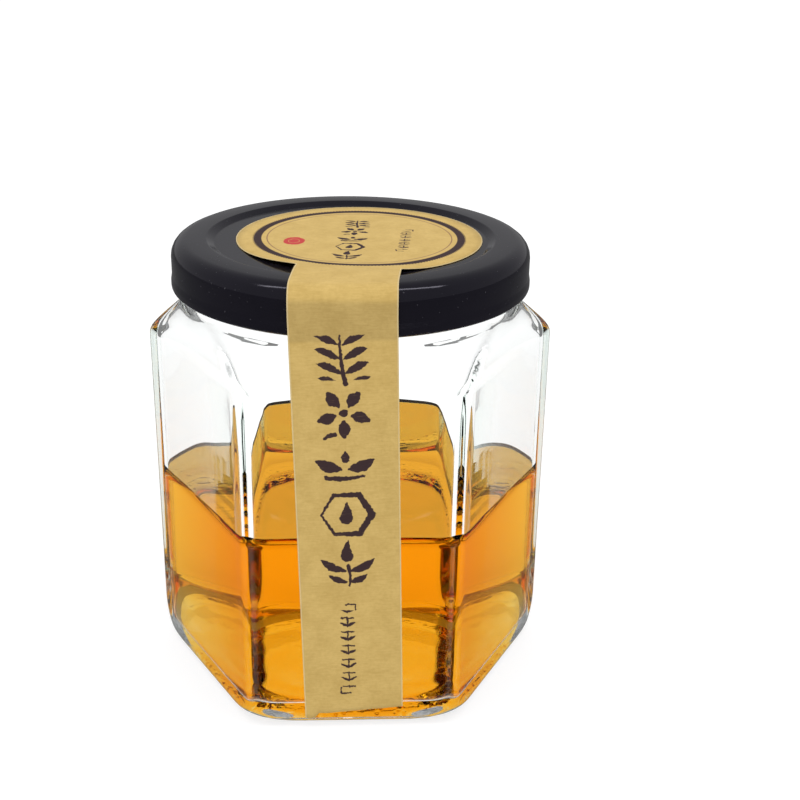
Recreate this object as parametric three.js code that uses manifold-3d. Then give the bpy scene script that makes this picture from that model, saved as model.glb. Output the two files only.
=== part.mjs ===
// A six-sided glass jar with a black twist-off lid, half full of a clear amber liquid. A kraft paper seal
// lies on the lid, passes over its edge and runs down the front face. Millimetres, +Z up; the jar stands
// on z = 0 with its axis on the origin, and one flat face looks along -Y.
import * as THREE from "three";
import { mergeVertices } from "three/addons/utils/BufferGeometryUtils.js";
import Module from "manifold-3d";

const wasm = await Module();
wasm.setup();

// Driving dimensions
const LID_RADIUS = 33; // over the curled edge of a 63 mm twist-off cap
const TOTAL_HEIGHT = 84.2; // to the raised ring of the lid
const LID_HEIGHT = 8.7;
const HALF_ACROSS_FLATS = 33; // body, centre to a flat face
const CORNER_ROUND = 2; // radius of the upright edges
const WALL = 2.8;
const FLOOR = 3.4; // glass under the liquid
const LIQUID_LEVEL = 37.5;
const SEAL_CIRCLE_RADIUS = 22.6;
const SEAL_STRIP_WIDTH = 17.9;
const SEAL_STRIP_END = 3.4; // height of the strip's lower end
const GAP = 0.3; // kept between pieces that touch
const PAPER = 0.3;

// Fineness of the facets
const TURN_STEPS = 72;
const BEND_STEPS = 4;

// Jar: heel, shoulder and neck
const HEEL = { height: 8.7, inset: 2.1, round: 21 };
const BEARING = { inner: 27.5, pushUp: 0.5, pushUpRadius: 22 };
const SHOULDER = { from: 65.5, insideFrom: 64.5, to: 73.2 };
const NECK_RADIUS = 31;
const FINISH_RADIUS = 29.9;
const FINISH_FOOT = 75.2;
const FINISH_STEP = 1; // height of the slope from the neck in to the finish under the lid
const BORE_RADIUS = 27;
const RIM_TOP = TOTAL_HEIGHT - 0.9;
const RIM_ROUND = 0.7;
const INNER_HEEL = { height: 2.5, inset: 2, round: 6 };
const INNER_CORNER_ROUND = 4.2;
const FLOOR_CROWN = { rise: 0.5, halfway: 0.375 };

// Lid: pressed sheet with a sunken panel inside a raised ring
const SHEET = 0.5;
const PANEL_RADIUS = 25;
const PANEL_DEPTH = 0.8;
const RING = { inner: 26.4, outer: 29.9 };
const LID_SHOULDER_ROUND = 2.6;
const CURL_ROUND = 0.75;
const CURL_ARC = { from: 45, to: -180 }; // degrees, from the skirt round the lower edge to the inside

// Seal: the circle sits a little off the lid's axis, and the strip hangs a little out of plumb
const CIRCLE_OFFSET = { x: 1.5, y: 0.8 };
const STRIP_OFFSET = -1.7;
const STRIP_LEAN = 0.023; // sideways run for each millimetre of drop
const STRIP_ROOT = 14; // how far in front of the axis the strip leaves the circle
const STEP_RUN = 1; // length over which the strip climbs from the panel to the ring

const SIXTH = Math.PI / 3;
const OUTWARD = 0; // directions in a side view, in degrees
const UP = 90;
const FRONT = 180;
const WELD = 1e-4; // points closer than this are one point

// Distance from the axis to a rounded hexagon's outline, at an angle counted from a face's middle.
// A rounding as large as the half width makes it a circle.
function hexReach(turn, half, round) {
  const fromFace = Math.abs(((turn + SIXTH / 2) % SIXTH) - SIXTH / 2);
  const flatEnd = (half - round) * Math.tan(SIXTH / 2);
  if (half * Math.tan(fromFace) <= flatEnd) return half / Math.cos(fromFace);
  const cornerCentre = (half - round) / Math.cos(SIXTH / 2);
  const fromCorner = SIXTH / 2 - fromFace;
  const side = cornerCentre * Math.sin(fromCorner);
  return cornerCentre * Math.cos(fromCorner) + Math.sqrt(round * round - side * side);
}

// A station is one level of a hollow ware shape: half width across flats, corner rounding and height.
const station = (half, round, height) => ({ half, round: Math.min(half, round), height });
const circle = (radius, height) => station(radius, radius, height);

// Turns the stations on a lathe, then presses each level from a circle to its rounded hexagon.
function pressed(stations) {
  const profile = stations.map((level) => new THREE.Vector2(level.half, level.height));
  const shape = new THREE.LatheGeometry(profile, TURN_STEPS);
  const place = shape.getAttribute("position");
  for (let i = 0; i < place.count; i++) {
    const level = stations[i % stations.length];
    if (level.half === 0) continue;
    const turn = (Math.floor(i / stations.length) * 2 * Math.PI) / TURN_STEPS;
    const reach = hexReach(turn, level.half, level.round);
    place.setX(i, reach * Math.sin(turn));
    place.setZ(i, reach * Math.cos(turn));
  }
  return shape.rotateX(Math.PI / 2);
}

// Levels of a rounded heel, from its lowest edge up to the straight wall.
function heelLevels(half, round, bottom, heel) {
  const levels = [];
  for (let i = 0; i <= BEND_STEPS; i++) {
    const turn = (Math.PI / 2) * (1 - i / BEND_STEPS);
    const share = 1 - Math.cos(turn);
    levels.push(
      station(
        half - heel.inset * share,
        round + (heel.round - round) * share,
        bottom + heel.height * (1 - Math.sin(turn)),
      ),
    );
  }
  return levels;
}

// Levels of a shoulder that draws a hexagonal wall in to a round neck.
function shoulderLevels(half, round, radius, from, to) {
  const levels = [];
  for (let i = 0; i <= BEND_STEPS; i++) {
    const rise = i / BEND_STEPS;
    const share = THREE.MathUtils.smoothstep(rise, 0, 1);
    levels.push(
      station(
        half + (radius - half) * share,
        round + (radius - round) * share,
        from + (to - from) * rise,
      ),
    );
  }
  return levels;
}

function jarShape() {
  const inside = HALF_ACROSS_FLATS - WALL;
  const outerWall = [
    station(0, 0, BEARING.pushUp),
    circle(BEARING.pushUpRadius, BEARING.pushUp),
    station(BEARING.inner, HEEL.round, 0),
    ...heelLevels(HALF_ACROSS_FLATS, CORNER_ROUND, 0, HEEL),
    ...shoulderLevels(HALF_ACROSS_FLATS, CORNER_ROUND, NECK_RADIUS, SHOULDER.from, SHOULDER.to),
    circle(NECK_RADIUS, FINISH_FOOT - FINISH_STEP),
    circle(FINISH_RADIUS, FINISH_FOOT),
    circle(FINISH_RADIUS, RIM_TOP - RIM_ROUND),
    circle(FINISH_RADIUS - RIM_ROUND, RIM_TOP),
  ];
  const innerWall = [
    station(0, 0, FLOOR + FLOOR_CROWN.rise),
    circle(inside / 2, FLOOR + FLOOR_CROWN.halfway),
    ...heelLevels(inside, INNER_CORNER_ROUND, FLOOR, INNER_HEEL),
    ...shoulderLevels(inside, INNER_CORNER_ROUND, BORE_RADIUS, SHOULDER.insideFrom, SHOULDER.to),
    circle(BORE_RADIUS, RIM_TOP - RIM_ROUND),
    circle(BORE_RADIUS + RIM_ROUND, RIM_TOP),
  ];
  return pressed([...outerWall, ...innerWall.reverse()]);
}

function liquidShape() {
  const half = HALF_ACROSS_FLATS - WALL - GAP;
  const round = INNER_CORNER_ROUND - GAP;
  return pressed([
    station(0, 0, FLOOR + FLOOR_CROWN.rise + GAP),
    circle(half / 2, FLOOR + FLOOR_CROWN.halfway + GAP),
    ...heelLevels(half, round, FLOOR + GAP, INNER_HEEL),
    station(half, round, LIQUID_LEVEL),
    station(0, 0, LIQUID_LEVEL),
  ]);
}

// Points of an arc in the lid's section, from one angle to another, both ends included.
function arcPoints(centreRadius, centreHeight, round, fromDegrees, toDegrees) {
  const points = [];
  for (let i = 0; i <= BEND_STEPS; i++) {
    const turn = THREE.MathUtils.degToRad(fromDegrees + ((toDegrees - fromDegrees) * i) / BEND_STEPS);
    points.push(
      new THREE.Vector2(
        centreRadius + round * Math.cos(turn),
        centreHeight + round * Math.sin(turn),
      ),
    );
  }
  return points;
}

function lidShape() {
  const top = TOTAL_HEIGHT;
  const panel = top - PANEL_DEPTH;
  const shoulderHeight = top - LID_SHOULDER_ROUND;
  const shoulderRadius = RING.outer;
  const curlRadius = LID_RADIUS - CURL_ROUND;
  const curlHeight = top - LID_HEIGHT + CURL_ROUND;
  const skirtInside = shoulderRadius + LID_SHOULDER_ROUND - SHEET;
  const section = [
    new THREE.Vector2(0, panel),
    new THREE.Vector2(PANEL_RADIUS, panel),
    new THREE.Vector2(RING.inner, top),
    ...arcPoints(shoulderRadius, shoulderHeight, LID_SHOULDER_ROUND, UP, OUTWARD),
    ...arcPoints(curlRadius, curlHeight, CURL_ROUND, CURL_ARC.from, CURL_ARC.to),
    new THREE.Vector2(skirtInside, curlHeight + CURL_ROUND),
    ...arcPoints(shoulderRadius, shoulderHeight, LID_SHOULDER_ROUND - SHEET, OUTWARD, UP),
    new THREE.Vector2(RING.inner + SHEET, top - SHEET),
    new THREE.Vector2(PANEL_RADIUS + SHEET, panel - SHEET),
    new THREE.Vector2(0, panel - SHEET),
  ];
  return new THREE.LatheGeometry(section.reverse(), TURN_STEPS).rotateX(Math.PI / 2);
}

// A closed outline of the given thickness along an open path.
function band(path, thickness) {
  const sides = [1, -1].map((side) =>
    path.map((point, i) => {
      const before = path[Math.max(i - 1, 0)];
      const after = path[Math.min(i + 1, path.length - 1)];
      const inward = after.clone().sub(before).normalize();
      const across = new THREE.Vector2(-inward.y, inward.x);
      return point.clone().addScaledVector(across, (side * thickness) / 2);
    }),
  );
  return new THREE.Shape([...sides[0], ...sides[1].reverse()]);
}

// Side view of the seal's strip: out over the sunken panel, up on to the ring where its edges first
// meet the ring, round the lid's shoulder and straight down in front of the glass.
function stripShape() {
  const lift = GAP + PAPER / 2;
  const overPanel = TOTAL_HEIGHT - PANEL_DEPTH + lift;
  const overRing = TOTAL_HEIGHT + lift;
  const front = HALF_ACROSS_FLATS + lift;
  const bend = LID_SHOULDER_ROUND + lift;
  const farEdge = SEAL_STRIP_WIDTH / 2 + Math.abs(STRIP_OFFSET);
  const stepStart = Math.sqrt(PANEL_RADIUS * PANEL_RADIUS - farEdge * farEdge) - lift;
  const path = [
    new THREE.Vector2(-STRIP_ROOT, overPanel),
    new THREE.Vector2(-stepStart, overPanel),
    new THREE.Vector2(-stepStart - STEP_RUN, overRing),
    ...arcPoints(-(front - bend), overRing - bend, bend, UP, FRONT),
    new THREE.Vector2(-front, SEAL_STRIP_END),
  ];
  const strip = new THREE.ExtrudeGeometry(band(path, PAPER), {
    depth: SEAL_STRIP_WIDTH,
    bevelEnabled: false,
  });
  strip.translate(0, 0, STRIP_OFFSET - SEAL_STRIP_WIDTH / 2);
  const forward = new THREE.Vector3(0, 1, 0);
  const up = new THREE.Vector3(0, 0, 1);
  const across = new THREE.Vector3(1, 0, 0);
  strip.applyMatrix4(new THREE.Matrix4().makeBasis(forward, up, across));
  const place = strip.getAttribute("position");
  for (let i = 0; i < place.count; i++)
    place.setX(i, place.getX(i) + STRIP_LEAN * (TOTAL_HEIGHT - place.getZ(i)));
  return strip;
}

function circleShape() {
  const disc = new THREE.CylinderGeometry(SEAL_CIRCLE_RADIUS, SEAL_CIRCLE_RADIUS, PAPER, TURN_STEPS);
  const height = TOTAL_HEIGHT - PANEL_DEPTH + GAP + PAPER / 2;
  return disc.rotateX(Math.PI / 2).translate(CIRCLE_OFFSET.x, CIRCLE_OFFSET.y, height);
}

function toSolid(geometry) {
  const bare = geometry.clone();
  bare.deleteAttribute("normal");
  bare.deleteAttribute("uv");
  const merged = mergeVertices(bare, WELD);
  return new wasm.Manifold(
    new wasm.Mesh({
      numProp: 3,
      vertProperties: merged.attributes.position.array,
      triVerts: new Uint32Array(merged.index.array),
    }),
  );
}

function toGeometry(solid) {
  const mesh = solid.getMesh();
  const geometry = new THREE.BufferGeometry();
  geometry.setAttribute("position", new THREE.BufferAttribute(mesh.vertProperties, mesh.numProp));
  geometry.setIndex(new THREE.BufferAttribute(mesh.triVerts, 1));
  geometry.computeVertexNormals();
  return geometry;
}

const materials = {
  glass: new THREE.MeshStandardMaterial({
    color: 0xeaf2ee,
    roughness: 0.03,
    metalness: 0,
    transparent: true,
    opacity: 0.3,
  }),
  amber: new THREE.MeshStandardMaterial({
    color: 0xf29a08,
    roughness: 0.05,
    metalness: 0,
    transparent: true,
    opacity: 0.85,
  }),
  lacquer: new THREE.MeshStandardMaterial({ color: 0x17171b, roughness: 0.22, metalness: 0.1 }),
  kraft: new THREE.MeshStandardMaterial({ color: 0xcfb064, roughness: 0.85, metalness: 0 }),
};

function piece(name, geometry, material) {
  const mesh = new THREE.Mesh(geometry, material);
  mesh.name = name;
  return mesh;
}

const jar = new THREE.Group();
jar.name = "hexagonal_jar";
jar.add(piece("jar", jarShape(), materials.glass));
jar.add(piece("liquid", liquidShape(), materials.amber));
jar.add(piece("lid", lidShape(), materials.lacquer));
jar.add(piece("seal", toGeometry(toSolid(stripShape()).add(toSolid(circleShape()))), materials.kraft));

export default jar;
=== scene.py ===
# A hexagonal glass jar, half full of clear amber liquid, closed by a black lacquered twist-off lid.
# A seal of kraft paper lies on the lid, runs over its edge and hangs down the front face.
# Shapes are worked out in millimetres, and each finished piece is scaled to metres.
import math

import bmesh
import bpy
from mathutils import Matrix, Vector, noise


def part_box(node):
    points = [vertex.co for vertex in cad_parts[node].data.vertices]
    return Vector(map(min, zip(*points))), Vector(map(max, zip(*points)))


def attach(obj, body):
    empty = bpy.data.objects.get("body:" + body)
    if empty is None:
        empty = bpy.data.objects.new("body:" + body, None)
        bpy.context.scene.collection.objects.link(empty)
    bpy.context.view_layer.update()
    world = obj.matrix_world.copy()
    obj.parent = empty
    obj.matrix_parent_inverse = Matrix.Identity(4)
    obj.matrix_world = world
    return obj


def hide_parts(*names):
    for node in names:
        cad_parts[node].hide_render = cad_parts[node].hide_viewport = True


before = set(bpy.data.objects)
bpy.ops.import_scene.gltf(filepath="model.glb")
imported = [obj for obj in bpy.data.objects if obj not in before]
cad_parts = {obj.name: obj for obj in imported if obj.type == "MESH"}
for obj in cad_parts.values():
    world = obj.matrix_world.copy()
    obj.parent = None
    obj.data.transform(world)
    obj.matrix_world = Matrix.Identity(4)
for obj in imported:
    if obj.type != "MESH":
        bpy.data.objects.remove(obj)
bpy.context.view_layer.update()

MM = 0.001
SIXTH = math.pi / 3

# Driving sizes, from the frame
LID_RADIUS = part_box("lid")[1].x / MM
TOTAL_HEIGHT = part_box("lid")[1].z / MM
HALF_ACROSS_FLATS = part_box("jar")[1].y / MM
RIM_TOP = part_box("jar")[1].z / MM
STRIP_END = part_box("seal")[0].z / MM

# Glass
CORNER_ROUND = 2.0
WALL = 2.6
FLOOR = 3.4
HEEL = {"height": 8.7, "face_height": 3.0, "inset": 2.1, "round": 21.0}
BEARING_INNER = 27.5
PUSH_UP = {"rise": 0.5, "radius": 22.0, "round": 27.0}
SHOULDER = {"from": 65.5, "inside_from": 64.5, "to": 73.2}
NECK_RADIUS = 31.0
FINISH_RADIUS = 29.9
FINISH_FOOT = 75.2
FINISH_STEP = 1.0
BORE_RADIUS = 27.0
RIM_ROUND = 0.7
INNER_HEEL = {"height": 2.5, "face_height": 2.5, "inset": 2.0, "round": 6.0}
INNER_CORNER_ROUND = 4.8
FLOOR_CROWN = 0.5

# Each face of the blown inside swells inwards and has slight waves; both fade in above the floor
INNER_SWELL = 0.65
INNER_WAVE = {"height": 0.05, "across": 13.0, "up": 26.0}
SWELL_START = (FLOOR, FLOOR + 3.5)
SWELL_END = (60.0, 73.2)

# Relief under the base: dimples on the ring that the jar stands on, and low round waves
STIPPLE = {"from": 25.2, "to": 30.2, "fade": 0.4, "pitch": 1.15, "dimple": (0.5, 0.1), "depth": 0.04}
BASE_WAVES = {"pitch": 7.5, "noise_scale": 0.11, "ring_share": 0.12, "depth": 0.22}
RELIEF_TOP = (1.6, 1.2)

# Steps that the outlines are drawn in
COLUMNS = 180
CORNER_CROWDING = 0.75
BEND_STEPS = 18
WALL_STEPS = 14
ROUNDING_STEPS = 6
MERGE_DISTANCE = 0.0001

# Liquid; it wets the wall, so it stands a little above its solid and reaches into the glass
CLIMB = 0.7
LIQUID_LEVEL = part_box("liquid")[1].z / MM + CLIMB
WETTING = 0.08
MENISCUS = {"rise": 0.05, "reach": 0.3, "round": 2.0}
SURFACE_RINGS = (0.15, 0.35, 0.6, 0.9, 1.3, 1.8, 2.5, 3.5, 5, 8, 14, 22)

# Lid
SHEET = 0.35
PANEL_RADIUS = 25.0
PANEL_DEPTH = 0.8
RING = {"inner": 26.4, "outer": 29.9}
LID_HEIGHT = 8.7
LID_ROUND = {"panel": 0.5, "ring": 0.6, "shoulder": 2.9, "skirt": 0.9}
CURL = {"round": 0.75, "neck": 1.8, "from": -10, "to": -200, "steps": 14}
LID_COLUMNS = 192

# Seal: the circle, the strip and how the strip leans
PAPER = 0.12
PAPER_LIFT = 0.05
CIRCLE_RADIUS = 22.6
CIRCLE_PLACE = Vector((1.5, 0.8))
CIRCLE_COLUMNS = 216
CIRCLE_RINGS = 12
STRIP_WIDTH = 17.9
STRIP_TOP_X = -1.7
STRIP_LEAN = 0.026
STRIP_TURN = {"from": 25.0, "to": 40.0}
PICK_SLACK = 0.01

# Seal: its waves, its lifted parts and its worn end
PAPER_WAVE = {"depth": 0.16, "across": 16.0, "up": 9.0, "start": 6.0, "seed": 3.7}
RING_EASE = 0.6
BRIDGE = {"along": (15.0, 25.4), "middle": -2.5, "side": (10.0, 19.0)}
EDGE_CURL = {"rise": 0.35, "first": (-66, -38), "last": (-27, -10), "reach": (17, 23)}
END_SLANT = 0.06
WEAR = {"depth": 0.12, "scale": 0.9, "seed": (0.4, 8.1)}
TAB = {"from": (-9.2, -8.7), "to": (-7.2, -6.7), "drop": 0.9}

# The seal's own map: a square sheet that holds the flat label with a margin
LABEL_MARGIN = 24.0
LABEL_SPAN = 140.0

# Print on the seal, in millimetres from the circle's centre; heights are above the table.
# The red spot's edge and its pale line are shares of its half size.
INK_EDGE = 0.07
STRIP_MARKS = {"first_height": 72.3, "pitch": 9.45, "across": -0.3}
CIRCLE_MARKS = {"first": -9.2, "pitch": 5.3, "across": -1.2, "scale": 0.57}
COLUMN_HALF_HEIGHT = 9.4
STRIP_COLUMN = {"height": 16.7, "across": -0.7}
CIRCLE_COLUMN = {"along": 1.2, "across": 8.4, "scale": 0.78}
THICK_RING = {"inner": 18.0, "outer": 19.5, "teeth": 200.0, "tooth": 0.24, "tooth_edge": 0.3}
THIN_RING = (16.88, 17.08)
THIN_RING_STRENGTH = 0.75
RED_SPOT = {"place": (-11.6, 4.0, 0), "half_width": 2.0, "half_height": 2.6}
RED_EDGE = {"outside": 1.14, "inside": 1.04, "noise_scale": 1.2, "rough": 0.25}
RED_STRENGTH = 0.95
PALE_LINE = {"reach": 0.62, "edge": (0.06, 0.03), "strength": -0.5}
RAGGED = {"scale": 1.5, "reach": 0.55}
DRY_BRUSH = {"range": (0.3, 0.42), "share": 0.08}
INK_COLOUR = (0.042, 0.016, 0.018, 1)
MAROON = (0.16, 0.05, 0.05, 1)
RED = (0.5, 0.018, 0.028, 1)

# Kraft paper; a noise is given by its scale per millimetre, its detail and its roughness
PAPER_IOR = 1.45
MOTTLE = (0.22, 5, 0.6)
PULP = (1.6, 3, 0.6)
FIBRE = (0.9, 3, 0.65)
FIBRE_TURN = 0.5
FIBRE_STRETCH = (0.5, 4.0, 1)
FLECK = (1.1, 2, 0.5)
FLECK_RANGE = (0.7, 0.78)
FLECK_STRENGTH = 0.22
PAPER_SHARES = {"mottle": 0.5, "pulp": 0.3, "fibre": 0.35}
PAPER_RANGE = (0.35, 0.8)
PAPER_ROUGHNESS = {"printed": 0.66, "back": 0.72, "pulp": 0.14, "ink": -0.14}
PAPER_RELIEF = {"mottle": 1.2, "pulp": 0.5, "fibre": 0.5, "depth": 0.06}
# Painted shade where the strip hangs over the black lid: where it starts, where it is full, its fade and
# its strength
PAINTED_LID_SHADE = {"from": 1.4, "full": 2.6, "fade": 0.4, "strength": 0.2}
# Painted highlight along the cut edges of the strip, of its root and of the circle
PAINTED_EDGE_HIGHLIGHT = {"strip": (8.65, 8.8), "root": (8.9, 9.0), "circle": (0.28, 0.12), "strength": 0.4}
KRAFT_DARK = (0.47, 0.31, 0.08, 1)
KRAFT_LIGHT = (0.60, 0.415, 0.13, 1)
FLECK_COLOUR = (0.28, 0.17, 0.05, 1)
# Colours of the painted shade over the lid and of the painted highlight on the cut edges
PAINTED_LID_SHADE_COLOUR = (0.05, 0.04, 0.02, 1)
PAINTED_EDGE_HIGHLIGHT_COLOUR = (0.8, 0.68, 0.42, 1)

# Black lacquer and the sealing compound inside the lid; a noise is given by its scale and detail
LACQUER_IOR = 1.42
LACQUER_CLOUD = (0.09, 3)
LACQUER_PEEL = (1.4, 2)
LACQUER_ROUGHNESS = {"least": 0.06, "cloud": 0.1, "dust": 0.3}
LACQUER_RELIEF = {"peel": 0.6, "dust": 0.5, "depth": 0.012}
DUST = (2.1, 1)
DUST_RANGE = (0.755, 0.775)
DUST_STRENGTH = 0.4
LACQUER_DARK = (0.003, 0.003, 0.005, 1)
LACQUER_LIGHT = (0.007, 0.006, 0.010, 1)
LACQUER_GLOSS = (0.88, 0.85, 1, 1)
DUST_COLOUR = (0.10, 0.10, 0.11, 1)
COMPOUND_GRAIN = (0.8, 3)
COMPOUND_DEPTH = 0.05
COMPOUND_ROUGHNESS = 0.5
COMPOUND_LIGHT = (0.84, 0.82, 0.77, 1)
COMPOUND_DARK = (0.72, 0.69, 0.62, 1)

# Clear materials; light in them fades, per metre, by one less the colour, times the density
WHITE = (1, 1, 1, 1)
BLACK = (0, 0, 0, 1)
GLASS_IOR = 1.52
GLASS_COLOUR = (0.3, 0.8, 0.55, 1)
GLASS_DENSITY = 4.0
LIQUID_IOR = 1.5
LIQUID_COLOUR = (0.98, 0.78, 0.0, 1)
LIQUID_DENSITY = 92.0

# Camera, fitted to the photograph's frame of 800 by 800 pixels
CAMERA_PLACE = Vector((-2.4, -224.2, 144.7))
CAMERA_PITCH = math.radians(22.58)
CAMERA_YAW = math.radians(3.02)
CAMERA_ROLL = math.radians(0.99)
CAMERA_LENS = 56.45

# Studio; the sky's strength depends on the path that the light takes through the object
FLOOR_HALF = 6.0
FLOOR_GLOW = 0.75
FLOOR_SHADE = 0.3
FLOOR_IN_GLOSS = 0.06
SKY = 1.1
SKY_COLOUR = (0.985, 0.985, 1, 1)
LOW_SKY_IN_GLASS = 0.22
HIGH_SKY_IN_GLASS = 0.85
LOW_SKY_END = (0.485, 0.52)
SKY_THROUGH_LIQUID = 1.05
SKY_IN_GLOSS = 0.35
WALLS_OF_EMPTY_GLASS = 5.0
OVERHEAD = {"place": (0.0, -0.1, 0.85), "aim": (0, 0, 0.04), "size": (1.2, 0.1), "power": 2.2}
GLASS_BOUNCES = 22
GLOSS_BOUNCES = 12


def smooth(value, low=0.0, high=1.0):
    share = min(max((value - low) / (high - low), 0.0), 1.0)
    return share * share * (3 - 2 * share)


def mix(start, end, share):
    return start + (end - start) * share


# Outlines

def arc(centre, radius, start, end, steps):
    """Points of an arc round a centre, between two angles in degrees."""
    points = []
    for i in range(steps + 1):
        turn = math.radians(mix(start, end, i / steps))
        points.append(Vector((centre[0] + radius * math.cos(turn), centre[1] + radius * math.sin(turn))))
    return points


def rounded(corners):
    """Points of a path through corners, each given as x, y and the radius that rounds it."""
    points = []
    for i, (x, y, radius) in enumerate(corners):
        corner = Vector((x, y))
        if not radius:
            points.append(corner)
            continue
        back = (Vector(corners[i - 1][:2]) - corner).normalized()
        ahead = (Vector(corners[i + 1][:2]) - corner).normalized()
        half = back.angle(ahead) / 2
        centre = corner + (back + ahead).normalized() * radius / math.sin(half)
        first = corner + back * radius / math.tan(half) - centre
        sweep = first.angle_signed(corner + ahead * radius / math.tan(half) - centre)
        for step in range(ROUNDING_STEPS + 1):
            points.append(centre + Matrix.Rotation(-sweep * step / ROUNDING_STEPS, 2) @ first)
    return points


def angle_from_face(turn):
    """Angle between a direction from the axis and the middle of the nearest face."""
    return abs((turn + SIXTH / 2) % SIXTH - SIXTH / 2)


def hex_reach(turn, half, rounding):
    """Distance from the axis to the outline of a hexagon with rounded corners, in one direction."""
    from_face = angle_from_face(turn)
    if half * math.tan(from_face) <= (half - rounding) * math.tan(SIXTH / 2):
        return half / math.cos(from_face)
    centre = (half - rounding) / math.cos(SIXTH / 2)
    side = centre * math.sin(SIXTH / 2 - from_face)
    return centre * math.cos(SIXTH / 2 - from_face) + math.sqrt(rounding**2 - side**2)


def level(half, rounding, height):
    """One level of an outline: half its width across the flats, its corners' rounding and its height."""
    return half, min(half, rounding), height


def circle(radius, height):
    return radius, radius, height


def heel_levels(half, rounding, bottom, heel):
    """Levels of a rounded heel up to the straight wall; it ends lower on the faces than at the corners."""
    levels = []
    for i in range(BEND_STEPS + 1):
        turn = math.pi / 2 * (1 - i / BEND_STEPS)
        share = 1 - math.cos(turn)
        height = heel["height"] * (1 - math.sin(turn))
        below = max(1 - height / heel["face_height"], 0)
        inset = heel["inset"] * (1 - math.sqrt(1 - below**2))
        levels.append(level(half - inset, mix(rounding, heel["round"], share), bottom + height))
    return levels


def wall_levels(half, rounding, bottom, top):
    """Levels of a straight wall, without its two ends."""
    steps = range(1, WALL_STEPS)
    return [level(half, rounding, mix(bottom, top, i / WALL_STEPS)) for i in steps]


def shoulder_levels(half, rounding, radius, bottom, top):
    """Levels of a shoulder that draws the hexagon in to a round neck."""
    levels = []
    for i in range(BEND_STEPS + 1):
        share = smooth(i / BEND_STEPS)
        height = mix(bottom, top, i / BEND_STEPS)
        levels.append(level(mix(half, radius, share), mix(rounding, radius, share), height))
    return levels


# Pieces

def new_piece(name, bm, material, node):
    """Makes an object of a mesh in millimetres and sets it in the frame in place of a CAD node."""
    bmesh.ops.scale(bm, vec=(MM, MM, MM), verts=bm.verts)
    mesh = bpy.data.meshes.new(name)
    bm.to_mesh(mesh)
    bm.free()
    for face in mesh.polygons:
        face.use_smooth = True
    piece = bpy.data.objects.new(name, mesh)
    bpy.context.scene.collection.objects.link(piece)
    mesh.materials.append(material)
    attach(piece, "root")
    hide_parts(node)
    return piece


def join_in_line(bm, points):
    """Joins points to one line of edges."""
    for pair in zip(points, points[1:]):
        bm.edges.new(pair)


def spin_round(bm, columns):
    """Turns the mesh's one line of points into a closed surface round Z."""
    geometry = bm.verts[:] + bm.edges[:]
    bmesh.ops.spin(
        bm, geom=geometry, axis=(0, 0, 1), cent=(0, 0, 0), angle=2 * math.pi, steps=columns, use_merge=True
    )
    bmesh.ops.remove_doubles(bm, verts=bm.verts, dist=MERGE_DISTANCE)
    bmesh.ops.recalc_face_normals(bm, faces=bm.faces)


def unevenness(half, turn, height):
    """How far a point of the jar's inside strays outwards; the outside and the floor's middle don't."""
    within = HALF_ACROSS_FLATS - WALL / 2
    if half > within or half < BORE_RADIUS:
        return 0
    place = Vector((math.sin(turn), math.cos(turn), 0)) * within / INNER_WAVE["across"]
    place.z = height / INNER_WAVE["up"]
    from_face = angle_from_face(turn)
    share = math.tan(from_face) / math.tan(SIXTH / 2)
    swell = INNER_SWELL * (1 - share**2) / math.cos(from_face)
    fade = smooth(height, *SWELL_START) * (1 - smooth(height, *SWELL_END))
    return (INNER_WAVE["height"] * noise.noise(place) - swell) * fade


def pressed(levels):
    """Spins the levels round Z, then presses each circle to its rounded hexagon."""
    bm = bmesh.new()
    rounding = bm.verts.layers.float.new("rounding")
    line = []
    for half, corner, height in levels:
        point = bm.verts.new((0, -half, height))
        point[rounding] = corner
        line.append(point)
    join_in_line(bm, line)
    spin_round(bm, COLUMNS)
    for point in bm.verts:
        half = math.hypot(point.co.x, point.co.y)
        if half < MM:
            continue
        turn = math.atan2(point.co.x, -point.co.y)
        turn += CORNER_CROWDING * math.sin(6 * turn) / 6
        reach = hex_reach(turn, half, min(half, point[rounding])) + unevenness(half, turn, point.co.z)
        point.co.x = reach * math.sin(turn)
        point.co.y = -reach * math.cos(turn)
    bm.verts.layers.float.remove(rounding)
    return bm


def inner_levels(outward, top):
    """Levels of the jar's inside up to a height, moved outward into the glass."""
    half = HALF_ACROSS_FLATS - WALL + outward
    rounding = INNER_CORNER_ROUND + outward
    bottom = FLOOR - outward
    levels = []
    for share in (0, 0.25, 0.5, 0.7):
        levels.append(circle(half * share, bottom + FLOOR_CROWN * (1 - share**2)))
    levels += heel_levels(half, rounding, bottom, INNER_HEEL)
    levels += wall_levels(half, rounding, bottom + INNER_HEEL["height"], top)
    levels.append(level(half, rounding, top))
    return levels


def base_levels():
    """Levels of the underside, from the pushed-up middle out to the ring that the jar stands on."""
    levels = [circle(PUSH_UP["radius"] * share, PUSH_UP["rise"]) for share in (0, 0.5, 0.9)]
    for i in range(BEND_STEPS + 1):
        share = i / BEND_STEPS
        radius = mix(PUSH_UP["radius"], BEARING_INNER, share)
        rounding = mix(PUSH_UP["round"], HEEL["round"], share)
        levels.append(level(radius, rounding, PUSH_UP["rise"] * (1 - smooth(share))))
    return levels


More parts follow.
